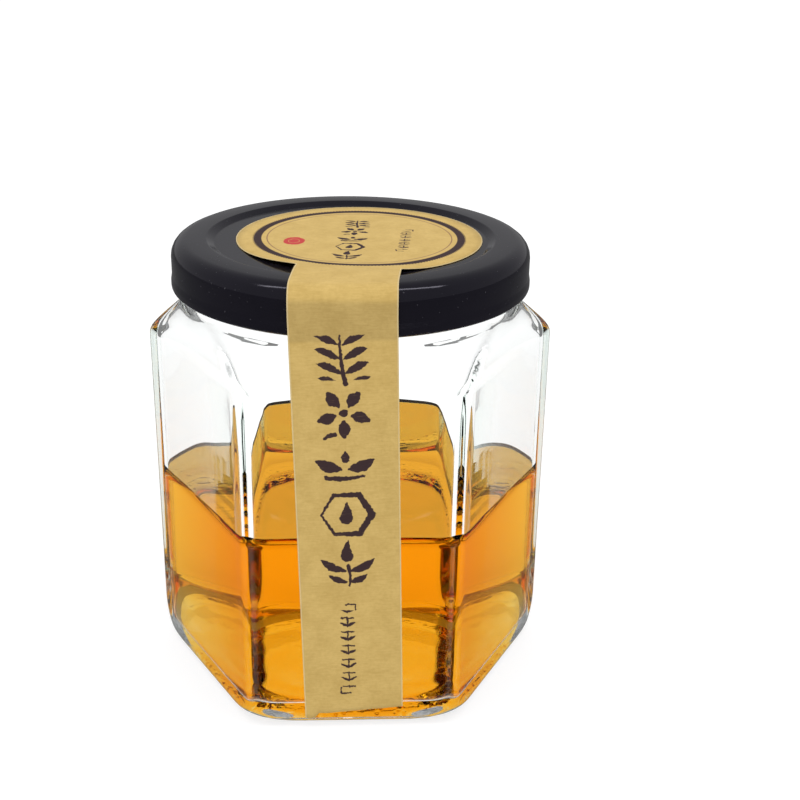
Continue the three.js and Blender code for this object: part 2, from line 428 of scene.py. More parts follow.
def make_jar(material):
    """One closed outline: up the outside, over the rim and down the inside to the floor."""
    half = HALF_ACROSS_FLATS
    outside = base_levels()
    outside += heel_levels(half, CORNER_ROUND, 0, HEEL)
    outside += wall_levels(half, CORNER_ROUND, HEEL["height"], SHOULDER["from"])
    outside += shoulder_levels(half, CORNER_ROUND, NECK_RADIUS, SHOULDER["from"], SHOULDER["to"])
    outside += [
        circle(NECK_RADIUS, FINISH_FOOT - FINISH_STEP),
        circle(FINISH_RADIUS, FINISH_FOOT),
        circle(FINISH_RADIUS, RIM_TOP - RIM_ROUND),
        circle(FINISH_RADIUS - RIM_ROUND, RIM_TOP),
        circle(BORE_RADIUS + RIM_ROUND, RIM_TOP),
        circle(BORE_RADIUS, RIM_TOP - RIM_ROUND),
    ]
    start = SHOULDER["inside_from"]
    inside = inner_levels(0, start)[:-1]
    inside += shoulder_levels(half - WALL, INNER_CORNER_ROUND, BORE_RADIUS, start, SHOULDER["to"])
    return new_piece("glass_jar", pressed(outside + inside[::-1]), material, "jar")


def make_liquid(material):
    """The liquid reaches a little into the glass all round and curves up at its edge."""
    levels = inner_levels(WETTING, LIQUID_LEVEL + MENISCUS["rise"])
    half, rounding, _ = levels[-1]
    for inward in SURFACE_RINGS:
        height = LIQUID_LEVEL + MENISCUS["rise"] * math.exp(-inward / MENISCUS["reach"])
        levels.append(level(half - inward, max(rounding - inward, MENISCUS["round"] + inward), height))
    levels.append(circle(0, LIQUID_LEVEL))
    return new_piece("amber_liquid", pressed(levels), material, "liquid")


def add_thickness(piece, thickness, back):
    """Gives a sheet its thickness, inwards from the modelled side, and its hidden side a material."""
    piece.data.materials.append(back)
    wall = piece.modifiers.new("thickness", "SOLIDIFY")
    wall.thickness = thickness * MM
    wall.offset = -1
    wall.material_offset = 1


def make_lid(material, lining):
    """A sheet spun from the panel's middle out over the ring, down the skirt and round the curl."""
    panel = TOTAL_HEIGHT - PANEL_DEPTH
    skirt = RING["outer"] + LID_ROUND["shoulder"]
    curl = (LID_RADIUS - CURL["round"], TOTAL_HEIGHT - LID_HEIGHT + CURL["round"])
    outline = rounded([
        (0, panel, 0),
        (PANEL_RADIUS, panel, LID_ROUND["panel"]),
        (RING["inner"], TOTAL_HEIGHT, LID_ROUND["ring"]),
        (skirt, TOTAL_HEIGHT, LID_ROUND["shoulder"]),
        (skirt, curl[1] + CURL["neck"], LID_ROUND["skirt"]),
        (LID_RADIUS, curl[1] + CURL["round"], LID_ROUND["skirt"]),
        (LID_RADIUS, curl[1], 0),
    ])
    outline += arc(curl, CURL["round"], CURL["from"], CURL["to"], CURL["steps"])
    bm = bmesh.new()
    join_in_line(bm, [bm.verts.new((0, -radius, height)) for radius, height in outline])
    spin_round(bm, LID_COLUMNS)
    if max(bm.faces, key=lambda face: -face.calc_center_median().xy.length).normal.z < 0:
        bmesh.ops.reverse_faces(bm, faces=bm.faces)
    piece = new_piece("lid_cap", bm, material, "lid")
    add_thickness(piece, SHEET, lining)
    return piece


# Seal; places on the flat label are given across it and along it, from the circle's centre

LIFT = PAPER + PAPER_LIFT
FRONT = HALF_ACROSS_FLATS + LIFT
BEND = LID_ROUND["shoulder"] + LIFT
BEND_START = FRONT - BEND + CIRCLE_PLACE.y
TURN_LENGTH = STRIP_TURN["to"] - STRIP_TURN["from"]
HALF_SHIFT = CIRCLE_PLACE.x - STRIP_TOP_X + STRIP_LEAN * TURN_LENGTH / 2
TOP_LEAN = HALF_SHIFT / (STRIP_TURN["from"] + TURN_LENGTH / 2)
STRIP_ROOT = math.sqrt(CIRCLE_RADIUS**2 - (STRIP_WIDTH / 2) ** 2)


def lid_top(radius):
    """Height of the lid's panel and ring at a distance from its axis."""
    share = smooth(radius, PANEL_RADIUS - RING_EASE, RING["inner"] + RING_EASE)
    return TOTAL_HEIGHT - PANEL_DEPTH * (1 - share)


def along_at_height(height):
    """Distance along the label, from the circle's centre, to a height on the hanging strip."""
    return BEND_START + BEND * (math.pi / 2 - 1) + TOTAL_HEIGHT + LIFT - height


def sideways(along):
    """How far the label's middle line has wandered to the left, and its slope there."""
    share = min(max((along - STRIP_TURN["from"]) / TURN_LENGTH, 0), 1)
    slope = mix(TOP_LEAN, -STRIP_LEAN, smooth(share))
    shift = TOP_LEAN * min(along, STRIP_TURN["from"]) - STRIP_LEAN * max(along - STRIP_TURN["to"], 0)
    shift += TURN_LENGTH * (TOP_LEAN * share - (TOP_LEAN + STRIP_LEAN) * (share**3 - share**4 / 2))
    return shift, slope


def rise_off_panel(across, along):
    """The stiff paper leaves the panel early to climb over the ring, and its front left edge curls up."""
    bridge = smooth(along, *BRIDGE["along"]) * (1 - smooth(abs(across - BRIDGE["middle"]), *BRIDGE["side"]))
    turn = math.degrees(math.atan2(across, along))
    curl = smooth(turn, *EDGE_CURL["first"]) * (1 - smooth(turn, *EDGE_CURL["last"]))
    curl *= smooth(math.hypot(across, along), *EDGE_CURL["reach"])
    return PANEL_DEPTH * bridge + EDGE_CURL["rise"] * curl


def lay(across, along):
    """Where a point of the flat label comes to lie, as the label passes over the lid and hangs down."""
    shift, slope = sideways(along)
    x = CIRCLE_PLACE.x - shift + across * math.cos(slope)
    ahead = along + across * slope
    if ahead <= BEND_START:
        y = CIRCLE_PLACE.y - ahead
        floor = lid_top(math.hypot(x, y))
        lifted = TOTAL_HEIGHT - PANEL_DEPTH + rise_off_panel(across, along)
        return Vector((x, y, max(floor, lifted) + LIFT))
    turn = min((ahead - BEND_START) / BEND, math.pi / 2)
    fall = max(ahead - BEND_START - BEND * math.pi / 2, 0)
    z = TOTAL_HEIGHT + LIFT - BEND * (1 - math.cos(turn)) - fall
    place = Vector((x / PAPER_WAVE["across"], PAPER_WAVE["seed"], z / PAPER_WAVE["up"]))
    wave = PAPER_WAVE["depth"] * noise.noise(place) * smooth(fall, 0, PAPER_WAVE["start"])
    y = -(FRONT - BEND) - BEND * math.sin(turn) - PAPER_WAVE["depth"] / 2 - wave / 2
    return Vector((x, y, z))


def strip_end(across):
    """Distance along the label to its worn, slanted lower edge, with a small tab that hangs lower at one
    corner.
    """
    wear = WEAR["depth"] * noise.noise(Vector((across * WEAR["scale"], *WEAR["seed"])))
    tab = smooth(across, *TAB["from"]) * (1 - smooth(across, *TAB["to"]))
    return along_at_height(STRIP_END + END_SLANT * across + wear - TAB["drop"] * tab)


def grow_strip(bm):
    """Draws the circle's front edge out into the strip, row by row."""
    reach = STRIP_WIDTH / 2 + PICK_SLACK
    rim = [edge for edge in bm.edges if edge.is_boundary]
    edges = [edge for edge in rim if all(v.co.y < 0 and abs(v.co.x) < reach for v in edge.verts)]
    rows = int(along_at_height(STRIP_END) - CIRCLE_RADIUS)
    for row in range(1, rows + 1):
        grown = bmesh.ops.extrude_edge_only(bm, edges=edges)["geom"]
        edges = [part for part in grown if isinstance(part, bmesh.types.BMEdge)]
        for point in (part for part in grown if isinstance(part, bmesh.types.BMVert)):
            root = math.sqrt(CIRCLE_RADIUS**2 - point.co.x**2)
            point.co.y = -mix(root, strip_end(point.co.x), row / rows)


def make_seal(material, back):
    """The flat label gets its map first, and is then laid over the lid and down the face."""
    bm = bmesh.new()
    steps = range(CIRCLE_RINGS + 1)
    join_in_line(bm, [bm.verts.new((0, -CIRCLE_RADIUS * i / CIRCLE_RINGS, 0)) for i in steps])
    spin_round(bm, CIRCLE_COLUMNS)
    grow_strip(bm)
    bmesh.ops.recalc_face_normals(bm, faces=bm.faces)
    if bm.faces[0].normal.z < 0:
        bmesh.ops.reverse_faces(bm, faces=bm.faces)
    label_map = bm.loops.layers.uv.new("label")
    for face in bm.faces:
        for corner in face.loops:
            across, along = corner.vert.co.x, -corner.vert.co.y
            corner[label_map].uv = (across + LABEL_MARGIN) / LABEL_SPAN, (along + LABEL_MARGIN) / LABEL_SPAN
    for point in bm.verts:
        point.co = lay(point.co.x, -point.co.y)
    piece = new_piece("kraft_seal", bm, material, "seal")
    add_thickness(piece, PAPER, back)
    return piece


# Materials

class Bench:
    """Short calls that add nodes to a material's tree or to a node group."""

    def __init__(self, tree):
        self.tree = tree

    def feed(self, socket, value):
        """Links an output to a socket, or sets the socket to a plain value."""
        if isinstance(value, bpy.types.NodeSocket):
            self.tree.links.new(value, socket)
        else:
            socket.default_value = value

    def add(self, kind, values=(), **settings):
        """Adds a node with its own settings; each value goes to the input at its place."""
        node = self.tree.nodes.new(kind)
        for name, value in settings.items():
            setattr(node, name, value)
        for place, value in dict(values).items():
            self.feed(node.inputs[place], value)
        return node

    def math(self, operation, *values, clamp=False):
        node = self.add("ShaderNodeMath", enumerate(values), operation=operation, use_clamp=clamp)
        return node.outputs[0]

    def step(self, value, low, high):
        """A soft step from 0 at low to 1 at high; low may be the greater of the two."""
        values = {"Value": value, "From Min": low, "From Max": high}
        return self.add("ShaderNodeMapRange", values, interpolation_type="SMOOTHSTEP").outputs[0]

    def vector(self, operation, *values):
        node = self.add("ShaderNodeVectorMath", enumerate(values), operation=operation)
        return node.outputs["Value" if operation in ("LENGTH", "DOT_PRODUCT") else "Vector"]

    def point(self, x, y):
        return self.add("ShaderNodeCombineXYZ", {0: x, 1: y}).outputs[0]

    def blend(self, share, first, second):
        values = {0: share, 6: first, 7: second}
        return self.add("ShaderNodeMix", values, data_type="RGBA").outputs[2]

    def noise(self, place, scale, detail=2.0, roughness=0.5):
        values = {"Vector": place, "Scale": scale, "Detail": detail, "Roughness": roughness}
        return self.add("ShaderNodeTexNoise", values).outputs["Fac"]

    def bump(self, height, distance):
        """Normals of a height that runs from 0 to 1 over a distance in millimetres."""
        return self.add("ShaderNodeBump", {"Height": height, "Distance": distance * MM}).outputs[0]

    def group(self, tree, **values):
        return self.add("ShaderNodeGroup", values, node_tree=tree).outputs


def new_group(name, inputs, outputs):
    """An empty node group; inputs are given by their default values, outputs by their kinds."""
    tree = bpy.data.node_groups.new(name, "ShaderNodeTree")
    for title, default in inputs.items():
        kind = "NodeSocketVector" if isinstance(default, tuple) else "NodeSocketFloat"
        tree.interface.new_socket(title, in_out="INPUT", socket_type=kind).default_value = default
    for title, kind in outputs.items():
        tree.interface.new_socket(title, in_out="OUTPUT", socket_type=kind)
    bench = Bench(tree)
    given = bench.add("NodeGroupInput").outputs
    result = bench.add("NodeGroupOutput").inputs
    return tree, bench, given, result


def new_material(name, **values):
    """A material whose shader's own sockets are set; the tree and the shader come back for more."""
    material = bpy.data.materials.new(name)
    material.use_nodes = True
    bench = Bench(material.node_tree)
    shader = material.node_tree.nodes["Principled BSDF"].inputs
    for title, value in values.items():
        bench.feed(shader[title.replace("_", " ")], value)
    return material, bench, shader


def millimetres(bench):
    """The place on the object, in millimetres."""
    place = bench.add("ShaderNodeTexCoord").outputs["Object"]
    values = {"Vector": place, "Scale": (1 / MM, 1 / MM, 1 / MM)}
    return bench.add("ShaderNodeMapping", values).outputs["Vector"]


def clear_material(name, ior, colour, density):
    """A smooth clear material that takes its colour from its depth."""
    material, bench, shader = new_material(
        name, Base_Color=WHITE, Roughness=0.0, IOR=ior, Transmission_Weight=1.0, Specular_Tint=BLACK
    )
    volume = bench.add("ShaderNodeVolumeAbsorption", {"Color": colour, "Density": density})
    bench.feed(bench.tree.nodes["Material Output"].inputs["Volume"], volume.outputs[0])
    return material, bench, shader


def glass_material():
    material, bench, shader = clear_material("clear_glass", GLASS_IOR, GLASS_COLOUR, GLASS_DENSITY)
    place = millimetres(bench)
    parts = bench.add("ShaderNodeSeparateXYZ", {0: place}).outputs
    flat = bench.point(parts["X"], parts["Y"])
    reach = bench.vector("LENGTH", flat)

    # Dimples, on the ring only
    outside = bench.step(reach, STIPPLE["from"] - STIPPLE["fade"], STIPPLE["from"])
    inside = bench.step(reach, STIPPLE["to"] + STIPPLE["fade"], STIPPLE["to"])
    ring = bench.math("MULTIPLY", outside, inside)
    values = {"Vector": flat, "Scale": 1 / STIPPLE["pitch"]}
    cells = bench.add("ShaderNodeTexVoronoi", values, feature="SMOOTH_F1").outputs
    dimples = bench.math("MULTIPLY", bench.step(cells["Distance"], *STIPPLE["dimple"]), ring)

    # Waves, round the axis and at random
    rings = bench.math("SINE", bench.math("MULTIPLY", reach, math.tau / BASE_WAVES["pitch"]))
    random = bench.noise(place, BASE_WAVES["noise_scale"], 1)
    waves = bench.math("MULTIPLY_ADD", rings, BASE_WAVES["ring_share"], random)

    height = bench.math("MULTIPLY_ADD", waves, BASE_WAVES["depth"] / STIPPLE["depth"], dimples)
    under = bench.step(parts["Z"], *RELIEF_TOP)
    relief = bench.bump(bench.math("MULTIPLY", height, under), STIPPLE["depth"])
    bench.feed(shader["Normal"], relief)
    return material


def liquid_material():
    return clear_material("amber_liquid", LIQUID_IOR, LIQUID_COLOUR, LIQUID_DENSITY)[0]


def lacquer_material():
    """Black lacquer, faintly cloudy, with a fine orange peel and a few specks of dust."""
    material, bench, shader = new_material("black_lacquer", IOR=LACQUER_IOR, Specular_Tint=LACQUER_GLOSS)
    place = millimetres(bench)
    cloud = bench.noise(place, *LACQUER_CLOUD)
    peel = bench.noise(place, *LACQUER_PEEL)
    dust = bench.step(bench.noise(place, *DUST), *DUST_RANGE)
    colour = bench.blend(cloud, LACQUER_DARK, LACQUER_LIGHT)
    colour = bench.blend(bench.math("MULTIPLY", dust, DUST_STRENGTH), colour, DUST_COLOUR)
    bench.feed(shader["Base Color"], colour)
    roughness = bench.math("MULTIPLY_ADD", cloud, LACQUER_ROUGHNESS["cloud"], LACQUER_ROUGHNESS["least"])
    roughness = bench.math("MULTIPLY_ADD", dust, LACQUER_ROUGHNESS["dust"], roughness)
    bench.feed(shader["Roughness"], roughness)
    specks = bench.math("MULTIPLY", dust, LACQUER_RELIEF["dust"])
    height = bench.math("MULTIPLY_ADD", peel, LACQUER_RELIEF["peel"], specks)
    bench.feed(shader["Normal"], bench.bump(height, LACQUER_RELIEF["depth"]))
    return material


def lining_material():
    """The pale, slightly dimpled sealing compound inside the lid."""
    material, bench, shader = new_material("lid_lining", Roughness=COMPOUND_ROUGHNESS)
    grain = bench.noise(millimetres(bench), *COMPOUND_GRAIN)
    bench.feed(shader["Base Color"], bench.blend(grain, COMPOUND_LIGHT, COMPOUND_DARK))
    bench.feed(shader["Normal"], bench.bump(grain, COMPOUND_DEPTH))
    return material


# Print on the seal: brush-drawn motifs, each about 9 mm high, in millimetres across and up

def brush_stroke_group():
    """Ink of one brush stroke between two points, with a belly and a bend in its middle."""
    point = (0.0, 0.0, 0.0)
    inputs = {"Place": point, "From": point, "To": point}
    inputs |= {"First": 0.0, "Last": 0.0, "Belly": 0.0, "Bend": 0.0}
    tree, bench, given, result = new_group("brush_stroke", inputs, {"Ink": "NodeSocketFloat"})
    ahead = bench.vector("SUBTRACT", given["To"], given["From"])
    length = bench.vector("LENGTH", ahead)
    forward = bench.vector("NORMALIZE", ahead)
    offset = bench.vector("SUBTRACT", given["Place"], given["From"])
    along = bench.vector("DOT_PRODUCT", offset, forward)
    turned = bench.vector("CROSS_PRODUCT", forward, offset)
    aside = bench.add("ShaderNodeSeparateXYZ", {0: turned}).outputs["Z"]
    share = bench.math("DIVIDE", along, length, clamp=True)
    rest = bench.math("SUBTRACT", 1.0, share)
    middle = bench.math("MULTIPLY", bench.math("MULTIPLY", share, rest), 4.0)
    beyond = bench.math("SUBTRACT", along, bench.math("MULTIPLY", share, length))
    bent = bench.math("SUBTRACT", aside, bench.math("MULTIPLY", given["Bend"], middle))
    squares = bench.math("ADD", bench.math("POWER", beyond, 2.0), bench.math("POWER", bent, 2.0))
    distance = bench.math("SQRT", squares)
    growth = bench.math("SUBTRACT", given["Last"], given["First"])
    width = bench.math("MULTIPLY_ADD", share, growth, given["First"])
    width = bench.math("MULTIPLY_ADD", middle, given["Belly"], width)
    inside = bench.math("SUBTRACT", width, distance)
    bench.feed(result["Ink"], bench.step(inside, -INK_EDGE, INK_EDGE))
    return tree


class Motif:
    """A motif drawn as the sum of a few brush strokes."""

    def __init__(self, bench, brush, x, y):
        self.bench = bench
        self.brush = brush
        self.ink = 0.0
        self.aim(x, y)

    def aim(self, x, y):
        """Sets the place, plain or folded, that the next strokes are drawn in."""
        self.place = self.bench.point(x, y)

    def stroke(self, start, finish, first, last, belly=0.0, bend=0.0):
        """Adds a stroke; first and last are its half widths at its ends."""
        stroke = self.bench.group(
            self.brush, Place=self.place, From=(*start, 0), To=(*finish, 0),
            First=first, Last=last, Belly=belly, Bend=bend,
        )
        self.ink = self.bench.math("MAXIMUM", self.ink, stroke["Ink"])

    def keep(self, mask):
        """Wipes the ink drawn so far wherever the mask is 0."""
        self.ink = self.bench.math("MULTIPLY", self.ink, mask)


def sprig(bench, brush, x, y):
    """A bent stem with a row of leaves on both sides."""
    half_pitch = 1.25
    lean = 0.08
    slant = 0.42
    leaves_middle = 0.3
    leaves_end = (4.0, 3.8)
    aside = bench.math("ABSOLUTE", bench.math("MULTIPLY_ADD", y, lean, x))
    slanted = bench.math("SUBTRACT", y, bench.math("MULTIPLY", aside, slant))
    row = bench.math("WRAP", slanted, half_pitch, -half_pitch)
    motif = Motif(bench, brush, aside, row)
    motif.stroke((0.35, 0), (4.2, 0.1), 0.14, 0.1, belly=0.62, bend=0.2)
    from_middle = bench.math("ABSOLUTE", bench.math("SUBTRACT", y, leaves_middle))
    motif.keep(bench.step(from_middle, *leaves_end))
    motif.aim(x, y)
    motif.stroke((0.45, -4.3), (-0.3, 4.2), 0.42, 0.16, bend=0.25)
    return motif.ink


def blossom(bench, brush, x, y):
    """Five petals round a dark middle, on a short stem."""
    half_petal = math.pi / 5
    tilt = 0.35
    turn = bench.math("ADD", bench.math("ARCTAN2", y, x), tilt)
    folded = bench.math("WRAP", turn, half_petal, -half_petal)
    reach = bench.vector("LENGTH", bench.point(x, y))
    along = bench.math("MULTIPLY", reach, bench.math("COSINE", folded))
    aside = bench.math("MULTIPLY", reach, bench.math("SINE", folded))
    motif = Motif(bench, brush, along, aside)
    motif.stroke((1.5, 0), (4.1, 0.15), 0.28, 0.5, belly=0.62, bend=0.12)
    motif.aim(x, y)
    motif.stroke((-0.1, 0), (0.1, 0), 0.62, 0.62)
    motif.stroke((-3.4, -4.6), (-1.6, -3.9), 0.2, 0.42, belly=0.1, bend=0.2)
    return motif.ink


def wings(bench, brush, x, y):
    """Two broad leaves spread to the sides of a bud."""
    motif = Motif(bench, brush, bench.math("ABSOLUTE", x), y)
    motif.stroke((0.7, -0.9), (4.9, 0.9), 0.24, 0.12, belly=0.85, bend=-0.35)
    motif.aim(x, y)
    motif.stroke((0, 2.3), (0.1, 0.9), 0.2, 0.62, belly=0.25)
    motif.stroke((-3.2, -2.4), (3.1, -2.2), 0.42, 0.22, belly=0.1, bend=-0.3)
    return motif.ink


def cell(bench, brush, x, y):
    """A six-sided cell with a drop in it."""
    half_across = 3.75
    line_half_width = 0.42
    line_growth = 0.05
    place = bench.point(x, y)
    sides = []
    for k in range(3):
        outward = (math.sin(k * SIXTH), math.cos(k * SIXTH), 0)
        sides.append(bench.math("ABSOLUTE", bench.vector("DOT_PRODUCT", place, outward)))
    reach = bench.math("MAXIMUM", bench.math("MAXIMUM", sides[0], sides[1]), sides[2])
    from_line = bench.math("ABSOLUTE", bench.math("SUBTRACT", reach, half_across))
    half_width = bench.math("MULTIPLY_ADD", x, line_growth, line_half_width)
    motif = Motif(bench, brush, x, y)
    motif.ink = bench.step(bench.math("SUBTRACT", half_width, from_line), -INK_EDGE, INK_EDGE)
    motif.stroke((0.1, 2.3), (-0.1, -0.7), 0.1, 1.15, belly=0.1, bend=0.1)
    return motif.ink


def drop_and_leaves(bench, brush, x, y):
    """A falling drop over two pairs of leaves."""
    motif = Motif(bench, brush, bench.math("ABSOLUTE", x), y)
    motif.stroke((0.5, -1.6), (4.6, 0.7), 0.2, 0.12, belly=0.62, bend=-0.45)
    motif.stroke((0.4, -3.9), (3.3, -2.5), 0.2, 0.1, belly=0.45, bend=-0.2)
    motif.aim(x, y)
    motif.stroke((0.1, 4.3), (-0.1, 1.3), 0.12, 1.1, belly=0.1, bend=-0.15)
    motif.stroke((0, -0.6), (0.2, -4.5), 0.34, 0.22, bend=0.2)
    return motif.ink


def small_column(bench, brush, x, y):
    """A thin column of small leaf marks between two corner brackets."""
    half_pitch = 1.45
    end = COLUMN_HALF_HEIGHT - 1.1
    softness = 0.1
    row = bench.math("WRAP", y, half_pitch, -half_pitch)
    motif = Motif(bench, brush, bench.math("ABSOLUTE", x), row)
    motif.stroke((0.15, -0.75), (1.25, -0.15), 0.2, 0.14, belly=0.1)
    motif.stroke((0.1, 0.8), (1.05, 0.8), 0.17, 0.15)
    motif.stroke((0, -0.9), (0, 0.95), 0.16, 0.16)
    height = bench.math("ABSOLUTE", y)
    motif.keep(bench.step(height, end, end - softness))
    turned = bench.math("MULTIPLY", x, bench.math("SIGN", y))
    brackets = Motif(bench, brush, turned, bench.math("SUBTRACT", COLUMN_HALF_HEIGHT, height))
    brackets.stroke((1.5, 0), (-0.2, 0), 0.14, 0.14)
    brackets.stroke((1.5, 0), (1.5, 1.2), 0.14, 0.14)
    return bench.math("MAXIMUM", motif.ink, brackets.ink)


def label_print_group():
    """Ink of the whole label, by the place on it; the circle's marks are the strip's, made smaller."""
    tree, bench, given, result = new_group(
        "label_print", {"Place": (0.0, 0.0, 0.0)}, {"Ink": "NodeSocketFloat"}
    )
    brush = brush_stroke_group()
    parts = bench.add("ShaderNodeSeparateXYZ", {0: given["Place"]}).outputs
    across, along = parts["X"], parts["Y"]
    on_strip = bench.math("GREATER_THAN", along, CIRCLE_RADIUS)

    def chosen(on_circle, hanging):
        return bench.math("MULTIPLY_ADD", on_strip, hanging - on_circle, on_circle)

    # The five motifs follow each other down the label
    scale = chosen(CIRCLE_MARKS["scale"], 1.0)
    first = chosen(CIRCLE_MARKS["first"], along_at_height(STRIP_MARKS["first_height"]))
    pitch = chosen(CIRCLE_MARKS["pitch"], STRIP_MARKS["pitch"])
    steps = bench.math("DIVIDE", bench.math("SUBTRACT", along, first), pitch)
    index = bench.math("ROUND", steps)
    middle = chosen(CIRCLE_MARKS["across"], STRIP_MARKS["across"])
    x = bench.math("DIVIDE", bench.math("SUBTRACT", across, middle), scale)
    up = bench.math("MULTIPLY", bench.math("SUBTRACT", index, steps), pitch)
    y = bench.math("DIVIDE", up, scale)
    ink = 0.0
    tolerance = 0.1
    for place, motif in enumerate((sprig, blossom, wings, cell, drop_and_leaves)):
        here = bench.math("COMPARE", index, float(place), tolerance)
        ink = bench.math("MULTIPLY_ADD", motif(bench, brush, x, y), here, ink)

    column_middle = chosen(CIRCLE_COLUMN["along"], along_at_height(STRIP_COLUMN["height"]))
    column_across = chosen(CIRCLE_COLUMN["across"], STRIP_COLUMN["across"])
    column_scale = chosen(CIRCLE_COLUMN["scale"], 1.0)
    column_x = bench.math("DIVIDE", bench.math("SUBTRACT", across, column_across), column_scale)
    column_y = bench.math("DIVIDE", bench.math("SUBTRACT", column_middle, along), column_scale)
    column = small_column(bench, brush, column_x, column_y)
    bench.feed(result["Ink"], bench.math("MAXIMUM", ink, column))
    return tree


def circle_ring(bench, reach, inner, outer):
    rise = bench.step(reach, inner - INK_EDGE, inner + INK_EDGE)
    fall = bench.step(bench.math("SUBTRACT", outer, reach), -INK_EDGE, INK_EDGE)
    return bench.math("MULTIPLY", rise, fall)


# Kraft paper

def painted_edge_highlights(bench, across, along, reach):
    """One along the cut edges of the strip and the circle, where a painted highlight lies."""
    side = bench.math("ABSOLUTE", across)
    on_strip = bench.math("GREATER_THAN", along, STRIP_ROOT)
    strip_edge = bench.math("MULTIPLY", bench.step(side, *PAINTED_EDGE_HIGHLIGHT["strip"]), on_strip)
    behind = bench.math("LESS_THAN", along, 0.0)
    beyond_root = bench.math("MAXIMUM", bench.step(side, *PAINTED_EDGE_HIGHLIGHT["root"]), behind)
    start, full = (CIRCLE_RADIUS - inset for inset in PAINTED_EDGE_HIGHLIGHT["circle"])
    circle_edge = bench.math("MULTIPLY", bench.step(reach, start, full), beyond_root)
    return bench.math("MAXIMUM", strip_edge, circle_edge)


def kraft_ground_group():
    """Bare paper by the place on the label: mottled pulp, short fibres and a few dark flecks, with a
    painted shade where the strip hangs over the black lid and a painted highlight along the cut edges.
    """
    tree, bench, given, result = new_group("kraft_ground", {"Place": (0.0, 0.0, 0.0)}, {
        "Colour": "NodeSocketColor",
        "Height": "NodeSocketFloat",
        "Pulp": "NodeSocketFloat",
        "Fibre": "NodeSocketFloat",
    })
    label = given["Place"]
    parts = bench.add("ShaderNodeSeparateXYZ", {0: label}).outputs
    across, along = parts["X"], parts["Y"]

    mottle = bench.noise(label, *MOTTLE)
    pulp = bench.noise(label, *PULP)
    values = {"Vector": label, "Rotation": (0, 0, FIBRE_TURN), "Scale": FIBRE_STRETCH}
    fibre = bench.noise(bench.add("ShaderNodeMapping", values).outputs["Vector"], *FIBRE)
    fleck = bench.step(bench.noise(label, *FLECK), *FLECK_RANGE)
    light = bench.math("MULTIPLY", fibre, PAPER_SHARES["fibre"])
    light = bench.math("MULTIPLY_ADD", pulp, PAPER_SHARES["pulp"], light)
    light = bench.math("MULTIPLY_ADD", mottle, PAPER_SHARES["mottle"], light)
    paper = bench.blend(bench.step(light, *PAPER_RANGE), KRAFT_DARK, KRAFT_LIGHT)
    paper = bench.blend(bench.math("MULTIPLY", fleck, FLECK_STRENGTH), paper, FLECK_COLOUR)

    # Painted shade on the strip's top where it hangs over the black lid, which lets no light through the
    # paper from behind, and a painted highlight along the cut edges
    top, full = (along_at_height(TOTAL_HEIGHT - PAINTED_LID_SHADE[side]) for side in ("from", "full"))
    low = along_at_height(TOTAL_HEIGHT - LID_HEIGHT)
    end = bench.step(along, low + PAINTED_LID_SHADE["fade"], low - PAINTED_LID_SHADE["fade"])
    shaded = bench.math("MULTIPLY", bench.step(along, top, full), end)
    paper = bench.blend(bench.math("MULTIPLY", shaded, PAINTED_LID_SHADE["strength"]), paper, PAINTED_LID_SHADE_COLOUR)
    edges = painted_edge_highlights(bench, across, along, bench.vector("LENGTH", label))
    paper = bench.blend(bench.math("MULTIPLY", edges, PAINTED_EDGE_HIGHLIGHT["strength"]), paper, PAINTED_EDGE_HIGHLIGHT_COLOUR)

    coarse = bench.math("MULTIPLY", pulp, PAPER_RELIEF["pulp"])
    grain = bench.math("ADD", coarse, bench.math("MULTIPLY", fibre, PAPER_RELIEF["fibre"]))
    height = bench.math("MULTIPLY_ADD", mottle, PAPER_RELIEF["mottle"], grain)
    for title, value in (("Colour", paper), ("Height", height), ("Pulp", pulp), ("Fibre", fibre)):
        bench.feed(result[title], value)
    return tree


def new_kraft(name, ground):
    """A paper material with its relief; also the place on the label and the bare paper."""
    material, bench, shader = new_material(name, IOR=PAPER_IOR)
    flat = bench.add("ShaderNodeUVMap", uv_map="label").outputs["UV"]
    margin = (-LABEL_MARGIN, -LABEL_MARGIN, 0)
    values = {"Vector": flat, "Location": margin, "Scale": (LABEL_SPAN, LABEL_SPAN, 1)}
    label = bench.add("ShaderNodeMapping", values).outputs["Vector"]
    paper = bench.group(ground, Place=label)
    bench.feed(shader["Normal"], bench.bump(paper["Height"], PAPER_RELIEF["depth"]))
    return material, bench, shader, label, paper


def kraft_back_material(ground):
    """The plain side that lies on the lid and shows through the glass."""
    material, bench, shader, _, paper = new_kraft("kraft_back", ground)
    bench.feed(shader["Base Color"], paper["Colour"])
    least, pulp = PAPER_ROUGHNESS["back"], PAPER_ROUGHNESS["pulp"]
    bench.feed(shader["Roughness"], bench.math("MULTIPLY_ADD", paper["Pulp"], pulp, least))
    return material


